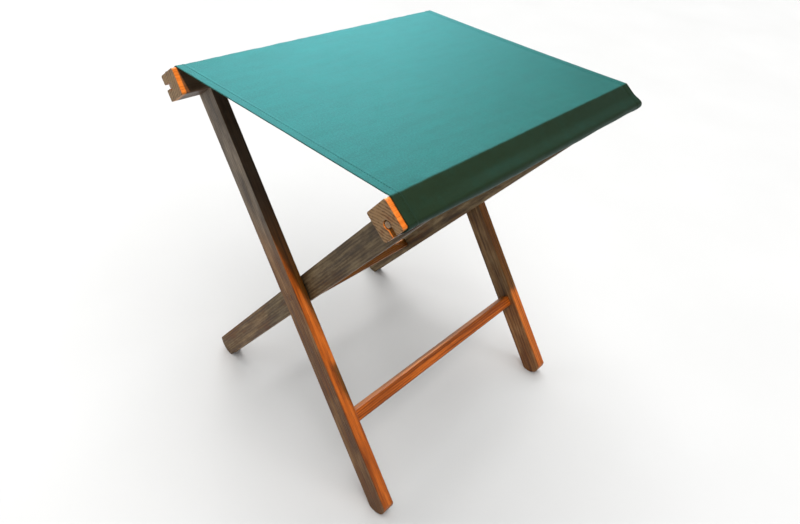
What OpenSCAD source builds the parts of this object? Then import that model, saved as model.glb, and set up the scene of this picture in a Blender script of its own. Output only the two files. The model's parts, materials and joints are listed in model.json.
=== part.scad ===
/* [Frames] */
// Slope of the legs above the floor when the stool stands open, in degrees
leg_angle = 52.7; // [50:0.1:56]
// Distance along a leg from the pivot to the middle of its rail
rail_reach = 258; // [240:1:280]
// Distance along an inner leg from the pivot to the centre of its rounded foot
inner_foot_reach = 257; // [240:1:280]
// Width of a leg, seen from the side of the stool
leg_w = 29; // [26:0.5:32]
// Thickness of a leg
leg_t = 15; // [14:0.5:18]
// Radius of the shallow rounded end of an inner leg's foot
inner_foot_r = 20; // [18:0.5:26]
// Radius of the eased corners of an inner leg's foot
inner_foot_corner_r = 2.5; // [1:0.5:4]
// Radius of the rounder end of an outer leg's foot
outer_foot_r = 16; // [15:0.5:18]
// Radius of the eased corners of an outer leg's foot
outer_foot_corner_r = 6; // [3:0.5:6]
// Distance from the middle of the stool to the inner face of an outer leg
outer_leg_y = 155.5; // [140:0.5:160]
// Gap between an outer and an inner leg
leg_gap = 1; // [1:0.1:2]
// Radius that eases the long edges of the legs
leg_edge_r = 1; // [0.5:0.1:2]

/* [Rails] */
// Side of the square seat rails
rail_w = 29; // [28:0.5:32]
// Length of the seat rails
rail_l = 406; // [390:1:440]
// Radius that eases the long edges of the rails
rail_edge_r = 2; // [1:0.1:3]
// Radius of the hole of the keyhole groove that holds the seat dowel
groove_r = 4.2; // [4.2:0.1:4.8]
// Width of the mouth of the keyhole groove
groove_mouth_w = 6; // [5:0.1:6.5]
// Radius of the dowel that traps the canvas in the groove
dowel_r = 3; // [2.8:0.1:3.1]
// Length of the dowel
dowel_l = 405; // [380:1:430]

/* [Stretchers] */
// Width of a stretcher along the legs
stretcher_w = 15; // [12:0.5:18]
// Thickness of a stretcher across the legs
stretcher_t = 13; // [11:0.5:14]
// Distance along a leg from the pivot to the middle of its stretcher
stretcher_reach = 160.5; // [150:0.5:180]
// Radius that rounds the long edges of a stretcher
stretcher_edge_r = 2.5; // [1:0.5:4]

/* [Seat] */
// Width of the canvas along the rails
canvas_w = 396; // [380:1:400]
// Thickness of the canvas
canvas_t = 0.9; // [0.6:0.1:1]

/* [Pivots] */
// Radius of a pivot bolt's shank
bolt_r = 3; // [2.5:0.1:3.2]
// Radius of a pivot bolt's head
bolt_head_r = 4.6; // [4.2:0.1:4.6]
// Radius of the wooden plug over a bolt's head
plug_r = 5; // [5:0.1:6]

/* [Hidden] */
$fn = 64;
OUTER = -1;
INNER = 1;
NEAR = -1;
FAR = 1;
WOOD = "#7d5f43";
PALE_WOOD = "#a98a68";
CANVAS = "#2f8f8a";
BRASS = "#b08d4a";
STEEL = "#9a9a98";
EPS = 0.02;          // overlap where two shapes of one solid are joined
CUT = 1;             // how far a cutter runs past the face that it opens

// Frame
pivot_z = inner_foot_reach * sin(leg_angle) + inner_foot_r;
outer_foot_reach = (pivot_z - outer_foot_r) / sin(leg_angle);
leg_top = rail_reach - rail_w / 2;
inner_leg_y = outer_leg_y - leg_gap - leg_t;
foot_wedge = 3;      // the wedge that bounds the foot's arc, as a multiple of its corner's offset

// Leg tenon, set to the inner side of the rail so that it clears the groove
tenon_t = 8;
tenon_l = 18;
tenon_shoulder = 2;
tenon_x = -7;
peg_r = 2.5;
peg_end_x = -2.5;
peg_z = leg_top + tenon_l / 2;

// Stretcher
stretcher_x = 0.5;
stretcher_tenon_w = 9;
stretcher_tenon_l = 10;
pin_r = 1;
pin_end_x = -2;
pin_sink = 0.5;

// Groove, in rail coordinates: x points out of the rail's outer face, z away from the feet
groove_x = 3.5;
groove_z = 0.3;
mouth_top_z = 4.2;

// Canvas
canvas_gap = 0.1;    // clearance between the canvas and the wood or the dowel
wrap_in_r = rail_edge_r + canvas_gap;
wrap_out_r = wrap_in_r + canvas_t;
rail_corner = rail_w / 2 - rail_edge_r;
strap_top_z = mouth_top_z - canvas_gap;
strap_middle = strap_top_z - canvas_t / 2 - groove_z;
ring_middle_r = dowel_r + (canvas_gap + canvas_t) / 2;
strap_start_x = groove_x + sqrt(max(0, pow(ring_middle_r, 2) - pow(strap_middle, 2)));
seat_corner_x = rail_reach * cos(leg_angle) + rail_corner * (cos(leg_angle) - sin(leg_angle));
seat_corner_z = pivot_z + rail_reach * sin(leg_angle)
    + rail_corner * (cos(leg_angle) + sin(leg_angle));
mask_reach = 20;     // how far the masks that trim the wrap run past the rail

// Pivot, as distances from the middle of the stool
leg_outer_face_y = outer_leg_y + leg_t;
head_seat_y = outer_leg_y + 8;
head_gap = 0.3;
head_t = 2.5;
plug_t = 3.5;
bolt_end_y = inner_leg_y + 3.5;
insert_r = 4.5;
insert_end_y = inner_leg_y + 3;
bolt_clearance = 0.05;
washer_r = 9;
washer_bore_r = 3.1;
washer_t = 0.9;
socket_r = 1.6;
socket_depth = 1.5;

// ---- placing ----

// Puts a frame drawn upright, with its pivot at the origin and x out of the stool, in its open place
module open_frame(side) {
    translate([0, 0, pivot_z])
        if (side == OUTER) mirror([1, 0, 0]) rotate([0, 90 - leg_angle, 0]) children();
        else rotate([0, 90 - leg_angle, 0]) children();
}

// Turns a shape drawn at the far end of the stool to its near end as well
module at_end(y_sign) {
    if (y_sign == NEAR) mirror([0, 1, 0]) children();
    else children();
}

module at_both_ends() {
    at_end(NEAR) children();
    at_end(FAR) children();
}

// Runs an outline drawn in x and z along y, from y_start to y_end
module along_y(y_start, y_end) {
    translate([0, y_end, 0]) rotate([90, 0, 0]) linear_extrude(y_end - y_start) children();
}

module rod_y(r, y_start, y_end) {
    translate([0, y_end, 0]) rotate([90, 0, 0]) cylinder(r = r, h = y_end - y_start);
}

module rod_x(r, x_start, x_end) {
    translate([x_start, 0, 0]) rotate([0, 90, 0]) cylinder(r = r, h = x_end - x_start);
}

module eased_rectangle(w, h, r) {
    square([w - 2 * r, h], center = true);
    square([w, h - 2 * r], center = true);
    for (sx = [-1, 1], sy = [-1, 1])
        translate([sx * (w / 2 - r), sy * (h / 2 - r)]) circle(r);
}

// ---- legs ----

// Side view of a leg: straight sides, an arc at the foot and eased corners between them
module leg_outline(reach, end_r, corner_r) {
    corner_x = leg_w / 2 - corner_r;
    corner_drop = sqrt(pow(end_r - corner_r, 2) - pow(corner_x, 2));
    corner_z = reach + corner_drop;
    translate([-leg_w / 2, -corner_z]) square([leg_w, corner_z + leg_top]);
    for (sx = [-1, 1]) translate([sx * corner_x, -corner_z]) circle(corner_r);
    intersection() {
        translate([0, -reach]) circle(end_r);
        translate([0, -reach]) polygon([
            [0, 0],
            [-corner_x, -corner_drop] * foot_wedge,
            [corner_x, -corner_drop] * foot_wedge
        ]);
    }
}

// The stub tenon that joins a leg to its rail; y_in is the leg's inner face
module rail_tenon(y_in) {
    translate([tenon_x - tenon_t / 2, y_in + tenon_shoulder, leg_top - EPS])
        cube([tenon_t, leg_t - 2 * tenon_shoulder, tenon_l + EPS]);
}

module stretcher_tenon(y_in, back) {
    translate([stretcher_x - stretcher_tenon_w / 2, y_in - back,
        -stretcher_reach - stretcher_tenon_w / 2])
        cube([stretcher_tenon_w, stretcher_tenon_l + back, stretcher_tenon_w]);
}

module peg_hole(y_in) {
    translate([0, y_in + leg_t / 2, peg_z]) rod_x(peg_r, -rail_w, peg_end_x);
}

module pin_hole(y_in) {
    translate([0, y_in + stretcher_tenon_l / 2, -stretcher_reach]) rod_x(pin_r, pin_end_x, leg_w);
}

module plain_leg(y_in, reach, end_r, corner_r) {
    difference() {
        union() {
            intersection() {
                along_y(y_in - CUT, y_in + leg_t + CUT) leg_outline(reach, end_r, corner_r);
                translate([0, y_in + leg_t / 2, -reach - end_r - CUT])
                    linear_extrude(reach + end_r + CUT + leg_top)
                    eased_rectangle(leg_w, leg_t, leg_edge_r);
            }
            rail_tenon(y_in);
        }
        stretcher_tenon(y_in, CUT);
        peg_hole(y_in);
        pin_hole(y_in);
    }
}

module outer_leg(y_sign) {
    color(WOOD) open_frame(OUTER) at_end(y_sign) difference() {
        plain_leg(outer_leg_y, outer_foot_reach, outer_foot_r, outer_foot_corner_r);
        rod_y(bolt_r + bolt_clearance, outer_leg_y - CUT, leg_outer_face_y);
        rod_y(plug_r, head_seat_y, leg_outer_face_y + CUT);
    }
}

module inner_leg(y_sign) {
    color(WOOD) open_frame(INNER) at_end(y_sign) difference() {
        plain_leg(inner_leg_y, inner_foot_reach, inner_foot_r, inner_foot_corner_r);
        rod_y(insert_r, insert_end_y, inner_leg_y + leg_t + CUT);
    }
}

module outer_leg_near() { outer_leg(NEAR); }
module outer_leg_far() { outer_leg(FAR); }
module inner_leg_near() { inner_leg(NEAR); }
module inner_leg_far() { inner_leg(FAR); }

// ---- rails ----

// End view of a rail with its keyhole groove; the origin is the middle of the rail
module rail_outline() {
    difference() {
        eased_rectangle(rail_w, rail_w, rail_edge_r);
        translate([groove_x, groove_z]) circle(groove_r);
        translate([groove_x, mouth_top_z - groove_mouth_w]) square([rail_w, groove_mouth_w]);
    }
}

module rail(side, y_in) {
    color(WOOD) open_frame(side) difference() {
        translate([0, 0, rail_reach]) along_y(-rail_l / 2, rail_l / 2) rail_outline();
        at_both_ends() {
            rail_tenon(y_in);
            peg_hole(y_in);
        }
    }
}

module outer_rail() { rail(OUTER, outer_leg_y); }
module inner_rail() { rail(INNER, inner_leg_y); }

// The pegs lock the leg tenons and end flush with the rail's inner face
module rail_pegs(side, y_in) {
    color(PALE_WOOD) open_frame(side) at_both_ends()
        translate([0, y_in + leg_t / 2, peg_z]) rod_x(peg_r, -rail_w / 2, peg_end_x);
}

module outer_rail_pegs() { rail_pegs(OUTER, outer_leg_y); }
module inner_rail_pegs() { rail_pegs(INNER, inner_leg_y); }

// ---- stretchers ----

module stretcher(side, y_in) {
    color(WOOD) open_frame(side) difference() {
        union() {
            translate([stretcher_x, 0, -stretcher_reach]) along_y(-y_in, y_in)
                eased_rectangle(stretcher_t, stretcher_w, stretcher_edge_r);
            at_both_ends() stretcher_tenon(y_in, EPS);
        }
        at_both_ends() pin_hole(y_in);
    }
}

module outer_stretcher() { stretcher(OUTER, outer_leg_y); }
module inner_stretcher() { stretcher(INNER, inner_leg_y); }

// The pins are driven through the leg's outer edge into the tenon and punched below the wood
module stretcher_pins(side, y_in) {
    color(BRASS) open_frame(side) at_both_ends()
        translate([0, y_in + stretcher_tenon_l / 2, -stretcher_reach])
        rod_x(pin_r, pin_end_x, leg_w / 2 - pin_sink);
}

module outer_stretcher_pins() { stretcher_pins(OUTER, outer_leg_y); }
module inner_stretcher_pins() { stretcher_pins(INNER, inner_leg_y); }

// ---- seat ----

module seat_dowel(side) {
    color(PALE_WOOD) open_frame(side) translate([groove_x, 0, rail_reach + groove_z])
        rod_y(dowel_r, -dowel_l / 2, dowel_l / 2);
}

module outer_seat_dowel() { seat_dowel(OUTER); }
module inner_seat_dowel() { seat_dowel(INNER); }

// The canvas over one rail, in rail coordinates: from the seat's level over the rail's top face,
// down its outer face, into the mouth of the groove and around the dowel
module wrap_outline() {
    intersection() {
        difference() {
            eased_rectangle(rail_w + 2 * (canvas_gap + canvas_t), rail_w + 2 * (canvas_gap + canvas_t),
                wrap_out_r);
            eased_rectangle(rail_w + 2 * canvas_gap, rail_w + 2 * canvas_gap, wrap_in_r);
        }
        polygon([
            [-rail_corner, rail_corner],
            [-rail_corner - mask_reach * cos(leg_angle), rail_corner + mask_reach * sin(leg_angle)],
            [rail_w, rail_corner + mask_reach],
            [rail_w, strap_top_z - canvas_t],
            [rail_corner, strap_top_z - canvas_t]
        ]);
    }
    translate([strap_start_x, strap_top_z - canvas_t])
        square([rail_w / 2 + canvas_gap + canvas_t / 2 - strap_start_x, canvas_t]);
    translate([groove_x, groove_z]) difference() {
        circle(dowel_r + canvas_gap / 2 + canvas_t);
        circle(dowel_r + canvas_gap / 2);
    }
}

// Side view of the whole canvas, with the pivot below the origin by pivot_z
module canvas_outline() {
    for (side = [OUTER, INNER])
        mirror([side == OUTER ? 1 : 0, 0])
        translate([rail_reach * cos(leg_angle), pivot_z + rail_reach * sin(leg_angle)])
        rotate(leg_angle - 90)
        wrap_outline();
    translate([-seat_corner_x - EPS, seat_corner_z + wrap_in_r])
        square([2 * (seat_corner_x + EPS), canvas_t]);
}

module seat_canvas() {
    color(CANVAS) along_y(-canvas_w / 2, canvas_w / 2) canvas_outline();
}

// ---- pivots ----

// The bolt turns in the outer leg and is screwed into the insert in the inner leg
module pivot_bolt(y_sign) {
    color(STEEL) open_frame(INNER) at_end(y_sign) difference() {
        union() {
            rod_y(bolt_r, bolt_end_y, head_seat_y + head_gap + EPS);
            rod_y(bolt_head_r, head_seat_y + head_gap, head_seat_y + head_gap + head_t);
        }
        rod_y(socket_r, head_seat_y + head_gap + head_t - socket_depth, leg_outer_face_y);
    }
}

module pivot_washer(y_sign) {
    color(STEEL) open_frame(INNER) at_end(y_sign) difference() {
        rod_y(washer_r, outer_leg_y - leg_gap, outer_leg_y - leg_gap + washer_t);
        rod_y(washer_bore_r, outer_leg_y - leg_gap - CUT, outer_leg_y);
    }
}

module pivot_insert(y_sign) {
    color(BRASS) open_frame(INNER) at_end(y_sign) difference() {
        rod_y(insert_r, insert_end_y, inner_leg_y + leg_t);
        rod_y(bolt_r, insert_end_y - CUT, inner_leg_y + leg_t + CUT);
    }
}

module pivot_plug(y_sign) {
    color(PALE_WOOD) open_frame(OUTER) at_end(y_sign)
        rod_y(plug_r, leg_outer_face_y - plug_t, leg_outer_face_y);
}

module pivot_bolt_near() { pivot_bolt(NEAR); }
module pivot_bolt_far() { pivot_bolt(FAR); }
module pivot_washer_near() { pivot_washer(NEAR); }
module pivot_washer_far() { pivot_washer(FAR); }
module pivot_insert_near() { pivot_insert(NEAR); }
module pivot_insert_far() { pivot_insert(FAR); }
module pivot_plug_near() { pivot_plug(NEAR); }
module pivot_plug_far() { pivot_plug(FAR); }

outer_leg_near();
outer_leg_far();
outer_rail();
outer_stretcher();
outer_rail_pegs();
outer_stretcher_pins();
outer_seat_dowel();
inner_leg_near();
inner_leg_far();
inner_rail();
inner_stretcher();
inner_rail_pegs();
inner_stretcher_pins();
inner_seat_dowel();
seat_canvas();
pivot_bolt_near();
pivot_bolt_far();
pivot_washer_near();
pivot_washer_far();
pivot_insert_near();
pivot_insert_far();
pivot_plug_near();
pivot_plug_far();
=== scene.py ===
import json
import math

import bpy
import numpy as np
from mathutils import Matrix, Vector, noise


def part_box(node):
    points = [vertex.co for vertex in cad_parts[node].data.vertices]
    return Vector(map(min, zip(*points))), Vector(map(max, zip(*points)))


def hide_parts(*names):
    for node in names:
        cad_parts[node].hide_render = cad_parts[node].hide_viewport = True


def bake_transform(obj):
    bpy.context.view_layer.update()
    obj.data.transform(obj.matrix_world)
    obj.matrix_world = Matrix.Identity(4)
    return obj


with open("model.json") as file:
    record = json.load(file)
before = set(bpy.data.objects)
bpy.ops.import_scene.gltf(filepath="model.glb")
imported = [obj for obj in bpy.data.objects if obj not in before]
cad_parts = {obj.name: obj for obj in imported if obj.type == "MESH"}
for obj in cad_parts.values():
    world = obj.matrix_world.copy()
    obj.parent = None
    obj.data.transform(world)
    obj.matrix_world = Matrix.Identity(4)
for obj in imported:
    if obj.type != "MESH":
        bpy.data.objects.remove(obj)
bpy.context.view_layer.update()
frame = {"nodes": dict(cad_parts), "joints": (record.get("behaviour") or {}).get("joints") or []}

NODES = frame["nodes"]
MM = 0.001
FULL_TURN = 2 * math.pi
QUARTER_TURN = math.pi / 2

# ---------------------------------------------------------------- camera
EYE = Vector((0.4255, -0.5113, 0.7138))
LOOK_AT = Vector((0.0849, -0.0966, 0.3625))
ROLL = math.radians(7.1)
FOCAL_MM = 28.7
SENSOR_MM = 36.0
SHIFT = (-0.003, -0.070)


def make_camera():
    """The camera at the photograph's place, angle and roll."""
    data = bpy.data.cameras.new("photo_camera")
    data.lens = FOCAL_MM
    data.sensor_fit = "HORIZONTAL"
    data.sensor_width = SENSOR_MM
    data.shift_x, data.shift_y = SHIFT
    data.clip_start = 0.01
    camera = bpy.data.objects.new("photo_camera", data)
    bpy.context.scene.collection.objects.link(camera)
    forward = (LOOK_AT - EYE).normalized()
    right = forward.cross(Vector((0, 0, 1))).normalized()
    up = right.cross(forward)
    across = right * math.cos(ROLL) + up * math.sin(ROLL)
    upward = up * math.cos(ROLL) - right * math.sin(ROLL)
    turn = Matrix((across, upward, -forward)).transposed().to_4x4()
    camera.matrix_world = Matrix.Translation(EYE) @ turn
    bpy.context.scene.camera = camera


make_camera()


# ---------------------------------------------------------------- node graphs
class Graph:
    """A material's node tree, with short calls that add nodes and link them."""

    def __init__(self, name):
        self.material = bpy.data.materials.new(name)
        self.material.use_nodes = True
        self.tree = self.material.node_tree
        self.tree.nodes.clear()
        self.shader = self.add("ShaderNodeBsdfPrincipled")
        output = self.add("ShaderNodeOutputMaterial")
        self.tree.links.new(self.shader.outputs[0], output.inputs["Surface"])

    def add(self, kind, **settings):
        node = self.tree.nodes.new(kind)
        for name, value in settings.items():
            setattr(node, name, value)
        return node

    def feed(self, node, values):
        """Sets or links a node's inputs, named or numbered."""
        for name, value in values.items():
            if isinstance(value, bpy.types.NodeSocket):
                self.tree.links.new(value, node.inputs[name])
            else:
                node.inputs[name].default_value = value
        return node

    def math(self, operation, a, b=0.0, clamp=False):
        node = self.add("ShaderNodeMath", operation=operation, use_clamp=clamp)
        return self.feed(node, {0: a, 1: b}).outputs[0]

    def vector(self, operation, a, b=(0, 0, 0)):
        node = self.add("ShaderNodeVectorMath", operation=operation)
        self.feed(node, {0: a, 1: b})
        single = operation in ("LENGTH", "DOT_PRODUCT")
        return node.outputs["Value" if single else "Vector"]

    def vector_part(self, vector, axis):
        return self.feed(self.add("ShaderNodeSeparateXYZ"), {0: vector}).outputs[axis]

    def place(self, turn=(0, 0, 0), shift=(0, 0, 0)):
        """The object coordinate in metres, turned and then shifted."""
        coordinate = self.add("ShaderNodeTexCoord").outputs["Object"]
        node = self.add("ShaderNodeMapping", vector_type="POINT")
        values = {"Vector": coordinate, "Rotation": turn, "Location": shift}
        return self.feed(node, values).outputs["Vector"]

    def noise(self, vector, scale=1.0, detail=2.0, roughness=0.5):
        node = self.add("ShaderNodeTexNoise")
        values = {"Vector": vector, "Scale": scale, "Detail": detail, "Roughness": roughness}
        return self.feed(node, values).outputs[0]

    def stretched_noise(self, place, scales, detail=2.0, roughness=0.5):
        """Noise with its own scale, per metre, along each axis."""
        return self.noise(self.vector("MULTIPLY", place, scales), 1.0, detail, roughness)

    def weighted(self, *terms):
        """The sum of (value, weight) terms."""
        parts = [self.math("MULTIPLY", value, weight) for value, weight in terms]
        total = parts[0]
        for part in parts[1:]:
            total = self.math("ADD", total, part)
        return total

    def spread(self, value, low, high, to_low=0.0, to_high=1.0):
        """value from low..high to to_low..to_high, clamped, with a smooth step."""
        node = self.add("ShaderNodeMapRange", interpolation_type="SMOOTHSTEP")
        values = {"Value": value, "From Min": low, "From Max": high,
                  "To Min": to_low, "To Max": to_high}
        return self.feed(node, values).outputs[0]

    def ramp(self, value, stops):
        """A colour ramp through (place, colour) stops."""
        node = self.add("ShaderNodeValToRGB")
        elements = node.color_ramp.elements
        while len(elements) < len(stops):
            elements.new(0.5)
        for element, (position, colour) in zip(elements, stops):
            element.position = position
            element.color = (*colour, 1.0)
        return self.feed(node, {"Fac": value}).outputs["Color"]

    def mix(self, factor, a, b, blend="MIX"):
        node = self.add("ShaderNodeMix", data_type="RGBA", blend_type=blend)
        a, b = ((*c, 1.0) if isinstance(c, tuple) else c for c in (a, b))
        return self.feed(node, {0: factor, 6: a, 7: b}).outputs[2]

    def bump(self, height, depth, normal=None):
        node = self.add("ShaderNodeBump")
        values = {"Height": height, "Distance": depth, "Strength": 1.0}
        if normal is not None:
            values["Normal"] = normal
        return self.feed(node, values).outputs["Normal"]

    def finish(self, **sockets):
        """Sets the shader's sockets; an underscore stands for a space in a name."""
        values = {name.replace("_", " "): value for name, value in sockets.items()}
        self.feed(self.shader, values)
        return self.material


# ---------------------------------------------------------------- wood
FOLD_JOINT = next(j for j in frame["joints"] if j["name"] == "fold")
PIVOT_Z = FOLD_JOINT["pos_m"][2]
RAIL_LOW, RAIL_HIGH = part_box("inner_rail")
RAIL_CENTRE = (RAIL_LOW + RAIL_HIGH) / 2
LEG_ANGLE = math.atan2(RAIL_CENTRE.z - PIVOT_Z, RAIL_CENTRE.x)
ALONG_Y = (0.0, 0.0, -QUARTER_TURN)
ALONG_INNER = (0.0, LEG_ANGLE, 0.0)
ALONG_OUTER = (0.0, -LEG_ANGLE, 0.0)
# The narrow faces' oiled orange against the side faces' dried grey-brown is partly painted light:
# warm lamp light on the narrow faces and shade on the sides.
OILED_AND_LAMP_LIT = [(0.20, (0.130, 0.040, 0.004)), (0.50, (0.320, 0.108, 0.013)),
         (0.82, (0.480, 0.200, 0.040))]
WEATHERED_AND_SHADED = [(0.12, (0.028, 0.017, 0.007)), (0.48, (0.096, 0.060, 0.025)),
             (0.88, (0.215, 0.150, 0.075))]
# Painted shade: the dark brown of the seat's shadow, on the upper legs and under the canvas.
SEAT_SHADE_BROWN = (0.034, 0.027, 0.021)
BLEACHED = (0.245, 0.200, 0.155)
WORN = (0.36, 0.27, 0.17)
PORE = (0.050, 0.026, 0.014)
SHADE_RANGE = ((0.1, 0.55), (0.9, 1.45))   # ramp places, and how dark or light one colour is there
RING_PITCH = 3.1 * MM
RING_WANDER = 7.0 * MM
RING_WEIGHT = 0.09
END_RING_WEIGHT = 0.24
LOG_CENTRE = (0.0, 0.045, 0.030)
# Noise scales per metre, along the grain and across it both ways.
LOG_SCALE = (0.035, 1.0, 1.0)
DRIFT_SCALE = (9.0, 55.0, 55.0)
FIBRE_SCALE = (45.0, 1500.0, 1500.0)
STREAK_SCALE = (8.0, 230.0, 230.0)
PORE_SCALE = (170.0, 2600.0, 2600.0)
PATCH_SCALE = (22.0, 75.0, 75.0)
PATCH_CONTRAST = 2.0
MIDDLE_SHADE = 0.80     # what the grain's terms add up to on the whole
EASED_EDGE = 1.3 * MM
RUBBED_SHARE = 0.35
PORE_SHARE = 0.60
GRAIN_DEPTH = 0.22 * MM
# How dark the painted seat shadow makes the narrow faces.
SEAT_SHADE_SHARE = 0.88
SEAT_SHADE_FADE = 0.11       # the height over which the painted seat shadow deepens, above the pivot
BARE_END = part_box("seat_canvas")[0].y
BARE_FADE = (-0.4 * MM, 0.8 * MM)


def shades(colour):
    """Ramp stops from a darker to a lighter shade of one colour."""
    return [(position, tuple(amount * part for part in colour))
            for position, amount in SHADE_RANGE]


def growth_rings(g, place):
    """Waves by the distance from the log's own centre line, which wanders."""
    drift = g.stretched_noise(place, DRIFT_SCALE)
    from_centre = g.vector("ADD", place, LOG_CENTRE)
    round_log = g.vector("LENGTH", g.vector("MULTIPLY", from_centre, LOG_SCALE))
    ring_place = g.math("ADD", round_log, g.math("MULTIPLY", drift, RING_WANDER))
    return g.math("SINE", g.math("MULTIPLY", ring_place, FULL_TURN / RING_PITCH))


def covered_share(g, cover):
    """How far a place lies towards the seat, or inboard of the rails' bare ends: where the seat's
    shadow is painted.
    """
    place = g.place()
    if cover == "above":
        return g.spread(g.vector_part(place, "Z"), PIVOT_Z, PIVOT_Z + SEAT_SHADE_FADE)
    if cover == "inboard":
        start, end = (BARE_END + part for part in BARE_FADE)
        return g.spread(g.vector_part(place, "Y"), start, end)
    return 0.0


def rubbed_edges(g, patch):
    """The normal with its edges eased, and how far an edge is rubbed pale."""
    eased = g.feed(g.add("ShaderNodeBevel", samples=4), {"Radius": EASED_EDGE}).outputs[0]
    true_normal = g.add("ShaderNodeNewGeometry").outputs["Normal"]
    turned = g.math("SUBTRACT", 1.0, g.vector("DOT_PRODUCT", eased, true_normal))
    rubbed = g.math("MULTIPLY", g.spread(turned, 0.02, 0.25), g.spread(patch, 0.40, 0.60))
    return eased, g.math("MULTIPLY", rubbed, RUBBED_SHARE)


def wood(name, turn, shift, tone, dryness_and_shade, narrow_dry_and_shade, cover, side_tint, side_share):
    """Hardwood with its grain along X once the place is turned.

    The broad side faces are grey-brown and the narrow faces orange, but for a share of them given
    per piece;
    the split is partly dried and oiled wood and partly painted light: lamp warmth on the narrow
    faces and painted shade on the sides. Towards the seat ("above") or under the canvas ("inboard")
    the narrow faces are painted dark, a painted shadow of the seat, and the side faces take
    side_tint.
    """
    g = Graph(name)
    place = g.place(turn, shift)
    # Broad side faces point along Y; on a bar that runs along Y they are its end grain.
    facing = g.add("ShaderNodeTexCoord").outputs["Normal"]
    side = g.math("ABSOLUTE", g.vector_part(facing, "Y"))
    side = g.spread(side, 0.30, 0.80, narrow_dry_and_shade, 1.0)
    ring_weight = RING_WEIGHT
    if turn == ALONG_Y:
        ring_weight = g.spread(side, 0.0, 1.0, RING_WEIGHT, END_RING_WEIGHT)
    rings = growth_rings(g, place)
    fibre = g.stretched_noise(place, FIBRE_SCALE, 3.0, 0.6)
    streak = g.stretched_noise(place, STREAK_SCALE, 4.0, 0.6)
    pores = g.spread(g.stretched_noise(place, PORE_SCALE, 1.0), 0.60, 0.72)
    patch = g.stretched_noise(place, PATCH_SCALE, 5.0, 0.65)
    shade = g.weighted((rings, ring_weight), (streak, 1.10), (fibre, 0.50))
    shade = g.math("ADD", shade, tone - MIDDLE_SHADE)
    blotch = g.math("MULTIPLY", g.math("SUBTRACT", patch, 0.5), PATCH_CONTRAST)
    blotched = g.math("ADD", shade, blotch)
    covered = covered_share(g, cover)
    side_face_colour = g.mix(g.math("MULTIPLY", covered, side_share),
                      g.ramp(blotched, WEATHERED_AND_SHADED), g.ramp(blotched, shades(side_tint)))
    # Painted shade: the narrow faces darken towards the seat and under the canvas, a painted shadow
    # of the seat.
    narrow_face_colour = g.mix(g.math("MULTIPLY", covered, SEAT_SHADE_SHARE),
                  g.ramp(shade, OILED_AND_LAMP_LIT), g.ramp(blotched, shades(SEAT_SHADE_BROWN)))
    # Partly painted light: the side faces take the grey-brown of dried wood and of shade.
    dried_and_shaded = g.math("MULTIPLY", side, g.spread(patch, 0.30, 0.52, dryness_and_shade - 0.20, dryness_and_shade))
    eased, rubbed = rubbed_edges(g, patch)
    colour = g.mix(rubbed, g.mix(dried_and_shaded, narrow_face_colour, side_face_colour), WORN)
    colour = g.mix(g.math("MULTIPLY", pores, PORE_SHARE), colour, PORE)
    height = g.weighted((fibre, 0.6), (rings, 0.06), (pores, -0.5))
    rough = g.math("ADD", g.spread(streak, 0.3, 0.7, 0.38, 0.52), g.math("MULTIPLY", dried_and_shaded, 0.14))
    return g.finish(Base_Color=colour, Roughness=rough,
                    Normal=g.bump(height, GRAIN_DEPTH, eased), Specular_IOR_Level=0.25)


# Each wooden piece's grain direction, place in the log, tone, dryness of its side faces (with
# painted shade), the same of its narrow faces, cover, and the tint that its side faces take under
# the cover (on most pieces the painted seat shade), with its share.
WOODEN = {
    "outer_leg_near": (ALONG_OUTER, (0.13, 0.02, 0.41), 0.40, 0.80, 0.00, "above", BLEACHED, 0.60),
    "outer_leg_far": (ALONG_OUTER, (0.71, 0.33, 0.17), 0.46, 0.78, 0.00, "above", SEAT_SHADE_BROWN, 0.80),
    "inner_leg_near": (ALONG_INNER, (0.37, 0.52, 0.86), 0.52, 1.00, 0.75, "above", SEAT_SHADE_BROWN, 0.25),
    "inner_leg_far": (ALONG_INNER, (0.91, 0.75, 0.29), 0.50, 1.00, 0.75, "above", SEAT_SHADE_BROWN, 0.25),
    "outer_rail": (ALONG_Y, (0.24, 0.61, 0.07), 0.76, 1.00, 0.00, "inboard", SEAT_SHADE_BROWN, 0.30),
    "inner_rail": (ALONG_Y, (0.58, 0.14, 0.65), 0.74, 0.95, 0.00, "inboard", SEAT_SHADE_BROWN, 0.30),
    "outer_stretcher": (ALONG_Y, (0.83, 0.44, 0.92), 0.34, 0.80, 0.00, "none", SEAT_SHADE_BROWN, 0.0),
    "inner_stretcher": (ALONG_Y, (0.46, 0.87, 0.35), 0.34, 0.90, 0.00, "none", SEAT_SHADE_BROWN, 0.0),
    "pivot_plug_near": (ALONG_OUTER, (0.13, 0.02, 0.42), 0.37, 0.80, 0.00, "above", BLEACHED, 0.60),
    "pivot_plug_far": (ALONG_OUTER, (0.71, 0.33, 0.18), 0.44, 0.78, 0.00, "above", SEAT_SHADE_BROWN, 0.50),
}


def paint(node, material):
    """Gives a CAD node its finished material."""
    slots = NODES[node].data.materials
    for index in range(len(slots)):
        slots[index] = material


for node, look in WOODEN.items():
    paint(node, wood(f"wood_{node}", *look))


def dowel_wood(name, turn):
    """Planed birch, darkened by handling, for the dowels and pegs."""
    g = Graph(name)
    place = g.place(turn, (0.3, 0.2, 0.1))
    fibre = g.stretched_noise(place, (60.0, 1500.0, 1500.0), 3.0, 0.6)
    streak = g.stretched_noise(place, (12.0, 300.0, 300.0))
    shade = g.weighted((fibre, 0.5), (streak, 0.5))
    colour = g.ramp(shade, [(0.30, (0.150, 0.096, 0.052)), (0.70, (0.330, 0.230, 0.140))])
    return g.finish(Base_Color=colour, Roughness=g.spread(streak, 0.3, 0.7, 0.5, 0.65),
                    Normal=g.bump(fibre, 0.12 * MM), Specular_IOR_Level=0.35)


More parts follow.
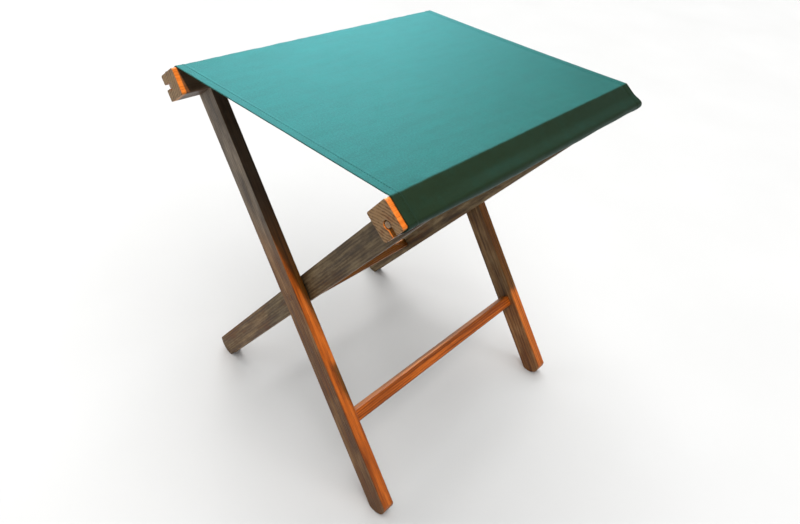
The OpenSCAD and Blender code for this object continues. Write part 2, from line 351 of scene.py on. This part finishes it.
DOWEL_LONG = dowel_wood("dowel_along_y", ALONG_Y)
for node in ("outer_seat_dowel", "inner_seat_dowel", "outer_rail_pegs", "inner_rail_pegs"):
    paint(node, DOWEL_LONG)


def metal(name, colour, dull, roughness):
    """Turned metal with a fine lathe grain and patchy tarnish."""
    g = Graph(name)
    place = g.place()
    tarnish = g.noise(place, 420.0, 4.0, 0.6)
    lathe = g.stretched_noise(place, (300.0, 9000.0, 300.0))
    shade = g.mix(g.spread(tarnish, 0.40, 0.65), colour, dull)
    rough = g.spread(tarnish, 0.3, 0.7, roughness, roughness + 0.2)
    return g.finish(Base_Color=shade, Metallic=1.0, Roughness=rough,
                    Normal=g.bump(lathe, 0.03 * MM))


BRASS = metal("brass_turned", (0.62, 0.42, 0.16), (0.33, 0.21, 0.09), 0.28)
STEEL = metal("steel_zinc_plated", (0.56, 0.57, 0.58), (0.36, 0.36, 0.36), 0.30)
for node in ("outer_stretcher_pins", "inner_stretcher_pins", "pivot_insert_near",
             "pivot_insert_far"):
    paint(node, BRASS)
for node in ("pivot_bolt_near", "pivot_bolt_far", "pivot_washer_near", "pivot_washer_far"):
    paint(node, STEEL)


# ---------------------------------------------------------------- canvas seat
DOWEL_LOW, DOWEL_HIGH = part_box("inner_seat_dowel")
RAIL_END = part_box("inner_rail")[1].y
NEAR_EDGE = BARE_END + 0.3 * MM
FAR_EDGE = RAIL_END - 0.4 * MM   # the cloth has slid along until it is flush at the far end
HALF_WIDTH = (FAR_EDGE - NEAR_EDGE) / 2
CLOTH_SHIFT = (FAR_EDGE + NEAR_EDGE) / 2
CLOTH = 0.9 * MM                 # the cloth's thickness, one layer
GAP = 0.1 * MM                   # between the cloth and the rail
DOWEL_GAP = 0.05 * MM            # between the cloth and its dowel
RAIL_HALF = 14.5 * MM            # half the rail's side
RAIL_ROUND = 2.0 * MM            # the rail's rounded long edges
MOUTH_TOP = 4.2 * MM             # the keyhole groove's upper lip, above the rail's middle
DOWEL_WRAP = math.radians(290)   # how far the cloth goes round its dowel
HEM_WIDTH = 11.0 * MM
HEM_EXTRA = 0.3 * MM             # the pressed hem's second layer
STITCH_IN = 8.5 * MM             # the stitch line, in from the cloth's edge
STITCH_PITCH = 3.2 * MM
SAG = 1.4 * MM
WAIST = 1.0 * MM                 # how far each side edge is drawn in at the middle
EDGE_TAUT = 0.55                 # how much less the side edges sag
ROLL_OFF = 2.6 * MM              # how far the cloth stands off the rail's outer corner
ROLL_START = 13.0 * MM           # where the roll begins, before that corner
ROLL_END = 2.0 * MM
NEAR_SLACK = (0.95, 0.30)        # the roll's share at the near end, on the left and right rail
SLACK_CHANGE = 0.40
SLACK_RANGE = (0.10, 1.15)
WRAP_FADE = 8.0 * MM
LIP_FADE = (3.2 * MM, 0.2 * MM)  # where the unevenness dies away, before the groove's lip
PULL_DEPTH = 0.10 * MM
UNEVEN_DEPTH = 0.30 * MM
RIDGE_DEPTH = 0.45 * MM
RIDGE_REACH = 7.0 * MM
EDGE_WANDER = 0.35 * MM
# Kinds of unevenness: the size along the cloth, the size across it and a seed.
PULLS = (150 * MM, 21 * MM, 3.7)
FINE_PULLS = (50 * MM, 8 * MM, 11.3)
UNEVEN = (26 * MM, 34 * MM, 7.1)
SLACK_ALONG_RAIL = (1.0, 55 * MM, 5.2)
RIDGE_LUMPS = (1.0, 11 * MM, 9.4)
SIDE_WANDER = (40 * MM, 1.0, 2.9)
HEM_FADE = (0.8 * MM, 0.4 * MM)  # where the hem's step starts and ends, about its width
PINCH_WIDTH = 0.8 * MM           # the stitches' pinch in the cloth
PINCH_DEPTH = 0.05 * MM
NOSE_TURNS = (60, 30, 0, -30, -60)   # degrees round a side edge, from the upper face down
NOSE_REACH = 0.55 * MM           # how far a side edge's rounding stands out
NOSE_STEP = 0.3 * MM             # between its points on the flat cloth
HEM_COLUMNS = (12.2, 11.6, 11.0, 10.4, 9.9, 9.4, 8.9, 8.5, 8.1, 7.6, 7.1, 6.0, 4.5, 3.0,
               1.6, 0.6)         # mm in from a side edge
INNER_COLUMNS = 94
STITCH_SIDES = 6
STITCH_END = 4.0 * MM            # how far short of a bend the rows stop
# One stitch: places along it, how high each lies and its radius, in mm.
STITCH_PROFILE = ((-1.15, -0.16, 0.10), (-0.8, 0.03, 0.20), (0.0, 0.08, 0.24),
                  (0.8, 0.03, 0.20), (1.15, -0.16, 0.10))

UP_LEG = Vector((math.cos(LEG_ANGLE), math.sin(LEG_ANGLE)))
OUTWARD = Vector((math.sin(LEG_ANGLE), -math.cos(LEG_ANGLE)))
RAIL_MIDDLE = Vector((RAIL_CENTRE.x, RAIL_CENTRE.z))
DOWEL_MIDDLE = Vector(((DOWEL_LOW.x + DOWEL_HIGH.x) / 2, (DOWEL_LOW.z + DOWEL_HIGH.z) / 2))
DOWEL_RADIUS = (DOWEL_HIGH.x - DOWEL_LOW.x) / 2


def on_rail(outward, up):
    """A point in the XZ plane, from its place outward and up the leg of the rail's middle."""
    return RAIL_MIDDLE + OUTWARD * outward + UP_LEG * up


def arc(centre, radius, start, sweep, step):
    """Points on an arc after its first one; angles from +X towards +Z."""
    count = max(2, math.ceil(abs(sweep) * radius / step))
    angles = [start + sweep * i / count for i in range(1, count + 1)]
    return [centre + Vector((math.cos(a), math.sin(a))) * radius for a in angles]


def line(start, end, step):
    """Points on a straight line after its first one."""
    count = max(1, round((end - start).length / step))
    return [start.lerp(end, i / count) for i in range(1, count + 1)]


def half_path():
    """The middle of the cloth from the seat's centre, over the rail and round the dowel.

    Returns its points and the distances along it where it meets the rail, starts the
    outer corner and turns into the groove. The last number given to each line and arc is
    the step between its points.
    """
    bend = RAIL_ROUND + GAP + CLOTH / 2
    flat = RAIL_HALF + GAP + CLOTH / 2
    corner = RAIL_HALF - RAIL_ROUND
    top_corner = on_rail(-corner, corner)
    slot_up = MOUTH_TOP - GAP - CLOTH / 2
    ring = DOWEL_RADIUS + DOWEL_GAP + CLOTH / 2
    dowel_up = (DOWEL_MIDDLE - RAIL_MIDDLE).dot(UP_LEG)
    dowel_out = (DOWEL_MIDDLE - RAIL_MIDDLE).dot(OUTWARD)
    meet = math.acos((slot_up - dowel_up) / ring)
    points = [Vector((0, top_corner.y + bend))]
    marks = []
    points += line(points[-1], top_corner + Vector((0, bend)), 2.0 * MM)
    marks.append(len(points))
    points += arc(top_corner, bend, QUARTER_TURN, LEG_ANGLE - QUARTER_TURN, 0.3 * MM)
    points += line(points[-1], on_rail(corner, flat), 1.5 * MM)
    marks.append(len(points))
    points += arc(on_rail(corner, corner), bend, LEG_ANGLE, -QUARTER_TURN, 0.4 * MM)
    points += line(points[-1], on_rail(flat, MOUTH_TOP), 0.8 * MM)
    marks.append(len(points))
    points += arc(on_rail(RAIL_HALF, MOUTH_TOP), flat - RAIL_HALF, LEG_ANGLE - QUARTER_TURN,
                  -QUARTER_TURN, 0.15 * MM)
    reach = dowel_out + ring * math.sin(meet)
    points += line(points[-1], on_rail(reach, slot_up), 1.5 * MM)
    points += arc(DOWEL_MIDDLE, ring, LEG_ANGLE - meet, DOWEL_WRAP, 0.7 * MM)
    lengths = np.cumsum([(b - a).length for a, b in zip(points, points[1:])])
    return points, [float(lengths[mark - 2]) for mark in marks]


def full_path():
    """The whole path from dowel to dowel: its points, upward normals and distances."""
    half = np.array([tuple(p) for p in HALF_PATH])
    mirrored = half[:0:-1] * (-1, 1)
    points = np.vstack([mirrored, half])
    steps = np.diff(points, axis=0)
    lengths = np.hypot(steps[:, 0], steps[:, 1])
    along = np.concatenate([[0], np.cumsum(lengths)])
    along -= along[-1] / 2
    tangents = steps / lengths[:, None]
    tangents = np.vstack([tangents[:1], tangents[:-1] + tangents[1:], tangents[-1:]])
    tangents /= np.hypot(tangents[:, 0], tangents[:, 1])[:, None]
    normals = np.column_stack([-tangents[:, 1], tangents[:, 0]])
    return points, normals, along


HALF_PATH, (HALF_SPAN, CORNER_IN, LIP_ALONG) = half_path()
PATH, PATH_NORMAL, PATH_ALONG = full_path()
RIDGE_X = float(np.interp(HALF_SPAN, PATH_ALONG, PATH[:, 0]))


def fade(value, low, high):
    """0 below low, 1 above high, with a smooth step between."""
    t = np.clip((value - low) / (high - low), 0, 1)
    return t * t * (3 - 2 * t)


def lumps(along, across, kind):
    """Smooth noise of one kind, about -1 to 1, at these distances."""
    size_along, size_across, seed = kind
    a, b = (along / size_along).ravel(), (across / size_across).ravel()
    return np.array([noise.noise((x, y, seed)) for x, y in zip(a, b)]).reshape(along.shape)


def outside_share(reach):
    """1 outside the groove, 0 once the cloth has turned into it."""
    return 1 - fade(reach, LIP_ALONG - LIP_FADE[0], LIP_ALONG - LIP_FADE[1])


def span_lift(along, across):
    """The taut span dips a little, most in the middle, and carries faint pull lines."""
    reach = np.abs(along)
    share = np.clip(reach / HALF_SPAN, 0, 1)
    edge = np.clip(np.abs(across) / HALF_WIDTH, 0, 1)
    on_span = 1 - share ** 2
    on_wrap = fade(reach, HALF_SPAN, HALF_SPAN + WRAP_FADE)
    near_rail = fade(share, 0.60, 0.98) * (1 - on_wrap)
    pulls = lumps(along, across, PULLS)
    fine_pulls = lumps(along, across, FINE_PULLS)
    lift = -SAG * on_span * (1 - EDGE_TAUT * edge ** 2)
    return lift + PULL_DEPTH * (pulls * on_span ** 0.5 + fine_pulls * near_rail)


def rail_lift(along, across):
    """Over a rail the cloth is uneven, and it stands off the outer corner in a soft roll."""
    reach = np.abs(along)
    outside = outside_share(reach)
    on_wrap = fade(reach, HALF_SPAN, HALF_SPAN + WRAP_FADE)
    uneven = np.maximum(0, lumps(along, across, UNEVEN))
    roll = fade(reach, CORNER_IN - ROLL_START, CORNER_IN + ROLL_END) * outside
    near_slack = np.where(along < 0, *NEAR_SLACK)
    slack = near_slack + (1 - near_slack) * fade(across, -HALF_WIDTH, -HALF_WIDTH * 0.25)
    slack = slack + SLACK_CHANGE * lumps(along * 0, across, SLACK_ALONG_RAIL)
    slack = np.clip(slack, *SLACK_RANGE)
    rise = fade(reach, HALF_SPAN - RIDGE_REACH, HALF_SPAN)
    fall = fade(reach, HALF_SPAN, HALF_SPAN + RIDGE_REACH)
    ridge_lumps = lumps(np.sign(along), across, RIDGE_LUMPS)
    lift = rise * (1 - fall) * ridge_lumps * RIDGE_DEPTH
    return lift + on_wrap * outside * uneven * UNEVEN_DEPTH + roll * slack * ROLL_OFF


def cloth_place(along, across):
    """Middle points and upward normals of the cloth, in XYZ, at these distances."""
    reach = np.abs(along)
    x = np.interp(along, PATH_ALONG, PATH[:, 0])
    z = np.interp(along, PATH_ALONG, PATH[:, 1])
    nx = np.interp(along, PATH_ALONG, PATH_NORMAL[:, 0])
    nz = np.interp(along, PATH_ALONG, PATH_NORMAL[:, 1])
    size = np.hypot(nx, nz)
    nx, nz = nx / size, nz / size
    lift = span_lift(along, across) + rail_lift(along, across)
    on_span = 1 - np.clip(reach / HALF_SPAN, 0, 1) ** 2
    wander = lumps(along, across * 0, SIDE_WANDER) * outside_share(reach)
    drawn_in = WAIST * on_span + EDGE_WANDER * wander
    y = CLOTH_SHIFT + across * (1 - drawn_in / HALF_WIDTH)
    return np.stack([x + nx * lift, y, z + nz * lift], -1), np.stack([nx, 0 * nx, nz], -1)


def hem_share(across):
    """1 on the folded side hems, 0 elsewhere."""
    edge = HALF_WIDTH - np.abs(across)
    return 1 - fade(edge, HEM_WIDTH - HEM_FADE[0], HEM_WIDTH + HEM_FADE[1])


def cloth_depths(along, across):
    """How far the cloth's upper and lower faces lie from its middle."""
    reach = np.abs(along)
    on_wrap = fade(reach, HALF_SPAN - 6 * MM, HALF_SPAN)
    outside = outside_share(reach)
    hem = hem_share(across) * outside * HEM_EXTRA
    stitch_line = np.exp(-((HALF_WIDTH - np.abs(across) - STITCH_IN) / PINCH_WIDTH) ** 2)
    pinch = stitch_line * outside * PINCH_DEPTH
    upper = CLOTH / 2 + hem * (0.5 + 0.5 * on_wrap) - pinch
    lower = CLOTH / 2 + hem * 0.5 * (1 - on_wrap) - pinch * (1 - on_wrap)
    return upper, lower


def mesh_piece(name, vertices, faces, material, uv=None):
    """A smooth-shaded mesh object; uv holds one pair for each vertex."""
    mesh = bpy.data.meshes.new(name)
    mesh.from_pydata(vertices.tolist(), [], faces)
    mesh.materials.append(material)
    mesh.shade_smooth()
    if uv is not None:
        loops = np.zeros(len(mesh.loops), np.int32)
        mesh.loops.foreach_get("vertex_index", loops)
        layer = mesh.uv_layers.new(name="cloth")
        layer.data.foreach_set("uv", uv[loops].astype(np.float32).ravel())
    piece = bpy.data.objects.new(name, mesh)
    bpy.context.scene.collection.objects.link(piece)
    return piece


def across_stations():
    """Columns across the cloth, close together where the hems and stitches are."""
    inner = np.linspace(-HALF_WIDTH + 13 * MM, HALF_WIDTH - 13 * MM, INNER_COLUMNS)
    hem = HALF_WIDTH - np.array(HEM_COLUMNS) * MM
    return np.concatenate([-hem[::-1], inner, hem])


def tube_faces(first, rings, sides):
    """Faces of a closed tube of rings of points; first is its first point's number."""
    faces = []
    for ring in range(rings - 1):
        for turn in range(sides):
            a = first + ring * sides + turn
            b = first + ring * sides + (turn + 1) % sides
            faces.append((a, b, b + sides, a + sides))
    faces.append([first + turn for turn in range(sides)][::-1])
    faces.append([first + (rings - 1) * sides + turn for turn in range(sides)])
    return faces


def side_nose(centre, normal, depth, flat, side):
    """One rounded side edge (1 far, -1 near): its points and their flat places."""
    turns = np.radians(NOSE_TURNS) * side
    level = np.sin(turns)[None, :, None]
    reach = np.cos(turns)[None, :, None] * side
    points = centre + normal * depth * level + np.array([0, 1, 0]) * NOSE_REACH * reach
    steps = np.arange(1, len(turns) + 1) * NOSE_STEP * side
    return points, flat + np.stack([0 * steps, steps], -1)


def make_canvas(material):
    """The seat: one closed sheet over both rails, with hems and rounded side edges."""
    along, wide = np.meshgrid(PATH_ALONG, across_stations(), indexing="ij")
    middle, normal = cloth_place(along, wide)
    upper, lower = cloth_depths(along, wide)
    top = middle + normal * upper[..., None]
    under = middle - normal * lower[..., None]
    flat = np.stack([along, wide], -1)
    centre = (top + under) / 2
    depth = (upper + lower)[..., None] / 2
    noses = [side_nose(centre[:, column], normal[:, column], depth[:, column],
                       flat[:, column], side)
             for side, column in ((1, slice(-1, None)), (-1, slice(0, 1)))]
    (far_nose, far_flat), (near_nose, near_flat) = noses
    around = np.concatenate([top, far_nose, under[:, ::-1], near_nose], 1)
    uv = np.concatenate([flat, far_flat, flat[:, ::-1], near_flat], 1)
    rings, sides = around.shape[:2]
    return mesh_piece("canvas_seat", around.reshape(-1, 3), tube_faces(0, rings, sides),
                      material, uv.reshape(-1, 2))


def stitch_points(centre, across, face):
    """Rings of points round one stitch, on the upper face (1) or the lower one (-1)."""
    along = centre + np.array([part[0] for part in STITCH_PROFILE]) * MM
    wide = np.full(along.shape, across)
    middle, normal = cloth_place(along, wide)
    upper, lower = cloth_depths(along, wide)
    level = upper if face == 1 else lower
    points = []
    for k, (_, rise, radius) in enumerate(STITCH_PROFILE):
        out = normal[k] * face
        core = middle[k] + out * (level[k] + rise * MM)
        for turn in range(STITCH_SIDES):
            angle = FULL_TURN * turn / STITCH_SIDES
            offset = out * math.sin(angle) + np.array([0, 1, 0]) * math.cos(angle)
            points.append(core + offset * radius * MM)
    return points


def make_stitches(material):
    """Both rows of hem stitches, on the upper and the lower face."""
    count = int(2 * (LIP_ALONG - STITCH_END) / STITCH_PITCH)
    centres = (np.arange(count) - (count - 1) / 2) * STITCH_PITCH
    on_span = centres[np.abs(centres) < HALF_SPAN - STITCH_END]
    vertices, faces = [], []
    for face, shown in ((1, centres), (-1, on_span)):
        for across in (STITCH_IN - HALF_WIDTH, HALF_WIDTH - STITCH_IN):
            for centre in shown:
                faces += tube_faces(len(vertices), len(STITCH_PROFILE), STITCH_SIDES)
                vertices += stitch_points(centre, across, face)
    return mesh_piece("canvas_stitching", np.array(vertices), faces, material)


CANVAS_DARK = (0.0045, 0.0190, 0.0155)
CANVAS_PALE = (0.0085, 0.0330, 0.0270)
# Painted shade: the cloth's colours over the rails, where the cool lamp barely reaches the wrap.
WRAP_SHADE_DARK = (0.0022, 0.0090, 0.0058)
WRAP_SHADE_PALE = (0.0048, 0.0165, 0.0105)
NAP_DARK = (0.006, 0.48, 0.51)
NAP_PALE = (0.025, 1.00, 1.00)
# Painted shade too: the duller nap over the rails.
WRAP_SHADE_NAP = (0.20, 0.44, 0.36)
THREAD_NAP = (0.015, 0.80, 0.82)
THREAD_PITCH = 0.65 * MM
# Noise scales per metre; the drawn-out ones along the cloth and across it.
SLUB_SCALE, SLUB_WIDE_SCALE = (55.0, 1300.0, 0.0), (1300.0, 55.0, 0.0)
NAP_STREAK_SCALE = (95.0, 14.0, 0.0)
NAP_GRAIN_SCALE = 620.0
MOTTLE_SCALE = 60.0
CLOUD_SCALE = 9.0


def canvas_cloth():
    """Plain-woven cotton duck, dyed teal, with a soft satin face."""
    g = Graph("canvas_teal")
    uv = g.add("ShaderNodeUVMap", uv_map="cloth").outputs["UV"]
    turns = g.vector("MULTIPLY", uv, (FULL_TURN / THREAD_PITCH / 2,) * 3)
    split = g.feed(g.add("ShaderNodeSeparateXYZ"), {0: turns}).outputs
    weave = g.math("MULTIPLY", g.math("SINE", split[0]), g.math("SINE", split[1]))
    slub_long = g.stretched_noise(uv, SLUB_SCALE, 2.0, 0.6)
    slub_wide = g.stretched_noise(uv, SLUB_WIDE_SCALE, 2.0, 0.6)
    mottle = g.noise(uv, MOTTLE_SCALE, 5.0, 0.62)
    cloud = g.noise(uv, CLOUD_SCALE, 3.0, 0.5)
    slubs = g.math("ADD", slub_long, slub_wide)
    shade = g.weighted((slubs, 0.38), (mottle, 0.22), (cloud, 0.18), (weave, 0.04))
    # Over the rails the face is painted darker, with a duller nap and sheen: painted shade on the
    # wrap.
    along = g.math("ABSOLUTE", split[0])
    ridge = HALF_SPAN * FULL_TURN / THREAD_PITCH / 2
    wrap_shade = g.spread(along, ridge * 0.990, ridge * 1.012)
    wrap_shade = g.math("MULTIPLY", wrap_shade, g.spread(mottle, 0.25, 0.55, 0.80, 1.0))
    colour = g.mix(wrap_shade, g.ramp(shade, [(0.34, CANVAS_DARK), (0.66, CANVAS_PALE)]),
                   g.ramp(shade, [(0.34, WRAP_SHADE_DARK), (0.66, WRAP_SHADE_PALE)]))
    # The nap catches the light in grains and in faint streaks across the seat.
    grain = g.noise(uv, NAP_GRAIN_SCALE, 2.0, 0.6)
    streaks = g.stretched_noise(uv, NAP_STREAK_SCALE, 4.0, 0.6)
    nap = g.weighted((grain, 0.90), (mottle, 0.30), (streaks, 0.35))
    tint = g.mix(wrap_shade, g.ramp(nap, [(0.69, NAP_DARK), (0.86, NAP_PALE)]), WRAP_SHADE_NAP)
    height = g.weighted((weave, 0.5), (slubs, 0.8))
    rough = g.spread(mottle, 0.3, 0.7, 0.605, 0.635)
    return g.finish(Base_Color=colour, Roughness=rough, Normal=g.bump(height, 0.10 * MM),
                    Specular_IOR_Level=0.55, Specular_Tint=tint,
                    Sheen_Weight=g.spread(wrap_shade, 0.0, 1.0, 0.10, 0.02), Sheen_Roughness=0.45,
                    Sheen_Tint=(0.05, 0.80, 0.80, 1.0))


def thread():
    """Twisted cotton thread in the cloth's own colour."""
    g = Graph("thread_teal")
    place = g.place()
    twist = g.noise(g.vector("MULTIPLY", place, (3000.0, 3000.0, 3000.0)), 1.0, 2.0)
    from_middle = g.math("ABSOLUTE", g.vector_part(place, "X"))
    # Painted shade: past the ridge the thread dulls like the cloth's wrap.
    wrap_shade = g.spread(from_middle, RIDGE_X - 2 * MM, RIDGE_X + 2 * MM)
    tint = g.mix(wrap_shade, THREAD_NAP, WRAP_SHADE_NAP)
    colour = g.ramp(twist, [(0.35, (0.0026, 0.0110, 0.0082)), (0.65, (0.0052, 0.0200, 0.0150))])
    return g.finish(Base_Color=colour, Roughness=g.spread(twist, 0.3, 0.7, 0.6, 0.7),
                    Normal=g.bump(twist, 0.05 * MM), Specular_IOR_Level=0.55,
                    Specular_Tint=tint)


canvas = make_canvas(canvas_cloth())
stitching = make_stitches(thread())
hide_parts("seat_canvas")
for cloth in (canvas, stitching):
    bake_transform(cloth)


# ---------------------------------------------------------------- floor and lights
FLOOR_RADIUS = 14.0
FLOOR_CORNERS = 48


def make_floor():
    """A plain pale studio floor."""
    g = Graph("floor_pale")
    soft = g.noise(g.place(), 3.0, 3.0)
    colour = g.ramp(soft, [(0.3, (0.545, 0.542, 0.535)), (0.7, (0.565, 0.562, 0.556))])
    material = g.finish(Base_Color=colour, Roughness=0.9, Specular_IOR_Level=0.1)
    angles = [FULL_TURN * i / FLOOR_CORNERS for i in range(FLOOR_CORNERS)]
    rim = np.array([(math.cos(angle), math.sin(angle), 0) for angle in angles]) * FLOOR_RADIUS
    floor = mesh_piece("studio_floor", rim, [list(range(FLOOR_CORNERS))], material)
    return floor


def light_only(lamp, pieces, state):
    """Keeps a lamp's light off these pieces, or on them alone."""
    group = bpy.data.collections.new(f"{lamp.name}_reach")
    for piece in pieces:
        group.objects.link(piece)
    for member in group.collection_objects:
        member.light_linking.link_state = state
    lamp.light_linking.receiver_collection = group


def add_lamp(name, kind, brightness, per_unit):
    """A lamp; brightness is what a white surface facing it at its aim shows, in RGB."""
    data = bpy.data.lights.new(name, kind)
    peak = max(brightness)
    data.color = [part / peak for part in brightness]
    data.energy = peak * per_unit
    lamp = bpy.data.objects.new(name, data)
    bpy.context.scene.collection.objects.link(lamp)
    return lamp


def area_lamp(name, place, aim, size, brightness):
    away = Vector(place) - Vector(aim)
    lamp = add_lamp(name, "AREA", brightness, (math.pi * away.length) ** 2)
    lamp.data.shape = "SQUARE"
    lamp.data.size = size
    lamp.location = place
    lamp.rotation_euler = away.to_track_quat("Z", "Y").to_euler()
    return lamp


def sun_lamp(name, direction, spread, brightness):
    lamp = add_lamp(name, "SUN", brightness, math.pi)
    lamp.data.angle = math.radians(spread)
    lamp.rotation_euler = Vector(direction).to_track_quat("Z", "Y").to_euler()
    return lamp


HORIZON = (0.80, 0.80, 0.80, 1)
SKY = (0.22, 0.23, 0.24, 1)
SKY_START = 0.16   # the sine of the height at which the surround is down to SKY


def make_world():
    """A pale surround, brightest near the horizon."""
    world = bpy.data.worlds.new("studio")
    bpy.context.scene.world = world
    world.use_nodes = True
    tree = world.node_tree
    tree.nodes.clear()
    place = tree.nodes.new("ShaderNodeTexCoord")
    split = tree.nodes.new("ShaderNodeSeparateXYZ")
    ramp = tree.nodes.new("ShaderNodeValToRGB")
    background = tree.nodes.new("ShaderNodeBackground")
    output = tree.nodes.new("ShaderNodeOutputWorld")
    low, high = ramp.color_ramp.elements
    low.color = HORIZON
    high.color = SKY
    high.position = SKY_START
    tree.links.new(place.outputs["Generated"], split.inputs[0])
    tree.links.new(split.outputs["Z"], ramp.inputs["Fac"])
    tree.links.new(ramp.outputs["Color"], background.inputs["Color"])
    tree.links.new(background.outputs[0], output.inputs["Surface"])


studio_floor = make_floor()
make_world()
SEAT_UNDER = (0.0, 0.0, 0.30)   # the lamps' aim, just below the seat
WARM = area_lamp("warm_overhead", (0.70, -0.52, 2.50), (0.05, 0.0, 0.25), 0.06,
                 (1.85, 1.00, 0.46))
WINDOW_PLACE = (-1.97, 1.47, 2.02)
WINDOW_SIZE = 1.8
WINDOW_ON_CLOTH = area_lamp("window_on_cloth", WINDOW_PLACE, SEAT_UNDER, WINDOW_SIZE,
                            (0.66, 1.78, 1.95))
WINDOW_ON_WOOD = area_lamp("window_on_wood", WINDOW_PLACE, SEAT_UNDER, WINDOW_SIZE,
                           (2.30, 2.20, 2.10))
area_lamp("soft_left", (-2.1, -1.45, 0.95), SEAT_UNDER, 1.2, (0.26, 0.26, 0.25))
FLOOR_SPREAD = 60   # degrees
FLOOR_LEFT = sun_lamp("floor_light_left", (-0.45, 0.30, 1.0), FLOOR_SPREAD, (0.90, 0.90, 0.90))
FLOOR_RIGHT = sun_lamp("floor_light_right", (0.40, -0.10, 1.0), FLOOR_SPREAD,
                       (0.80, 0.80, 0.80))
# The floor has its own neutral light, so that it stays plain; the cloth alone gets the cool one.
light_only(WARM, [studio_floor], "EXCLUDE")
light_only(WINDOW_ON_CLOTH, [canvas, stitching], "INCLUDE")
light_only(WINDOW_ON_WOOD, [canvas, stitching, studio_floor], "EXCLUDE")
for lamp in (FLOOR_LEFT, FLOOR_RIGHT):
    light_only(lamp, [studio_floor], "INCLUDE")
bpy.context.scene.view_settings.view_transform = "Standard"
